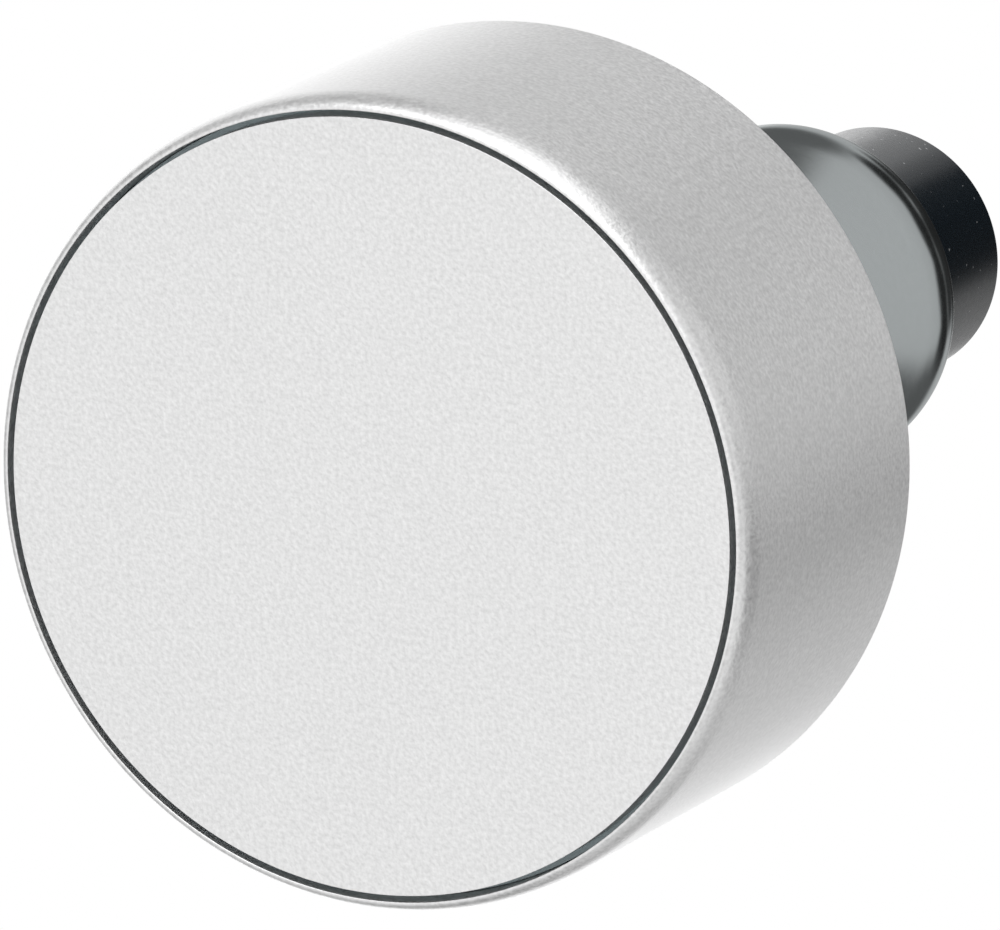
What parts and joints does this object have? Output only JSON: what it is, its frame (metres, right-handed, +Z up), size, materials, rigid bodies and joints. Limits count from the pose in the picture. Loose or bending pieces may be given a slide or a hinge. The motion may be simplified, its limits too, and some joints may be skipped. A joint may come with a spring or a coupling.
{
  "type": "turning door knob",
  "caption": "Drum-shaped turning door knob with an inset face disc, a flared neck with a lipped collar, a guide bush and a square spindle socket.",
  "frame": {"origin": "on the knob's axis, in the plane where the collar's rear face meets the door's rose", "axes": "+Y along the axis into the door, so the face disc looks to -Y; +Z up, with the set screw underneath at -Z"},
  "size_m": [0.05, 0.0753, 0.05],
  "materials": {
    "satin_drum": "fine bead-blasted and silver anodised, satin",
    "core_metal": "as cast",
    "neck_metal": "satin nickel, smoother than the drum",
    "bush_plastic": "black moulded, slight sheen",
    "screw_steel": "blackened",
    "spring_steel": "bright drawn",
    "ring_rubber": "black"
  },
  "bodies": {
    "bush": {"guide_bush": "bush_plastic"},
    "knob": {"knob_shell": "satin_drum", "face_disc": "satin_drum", "disc_ring": "ring_rubber", "core_hub": "core_metal", "drive_pins": "spring_steel", "neck_screw": "screw_steel", "lock_washer": "spring_steel", "neck": "neck_metal", "set_screw": "screw_steel", "thrust_washer": "bush_plastic", "shim_washer": "spring_steel", "snap_ring": "spring_steel"}
  },
  "joints": [
    {"name": "knob_turn", "type": "hinge", "parent": "bush", "child": "knob", "pos_m": [0, 0, 0], "axis": [0, 1, 0], "continuous": true}
  ]
}
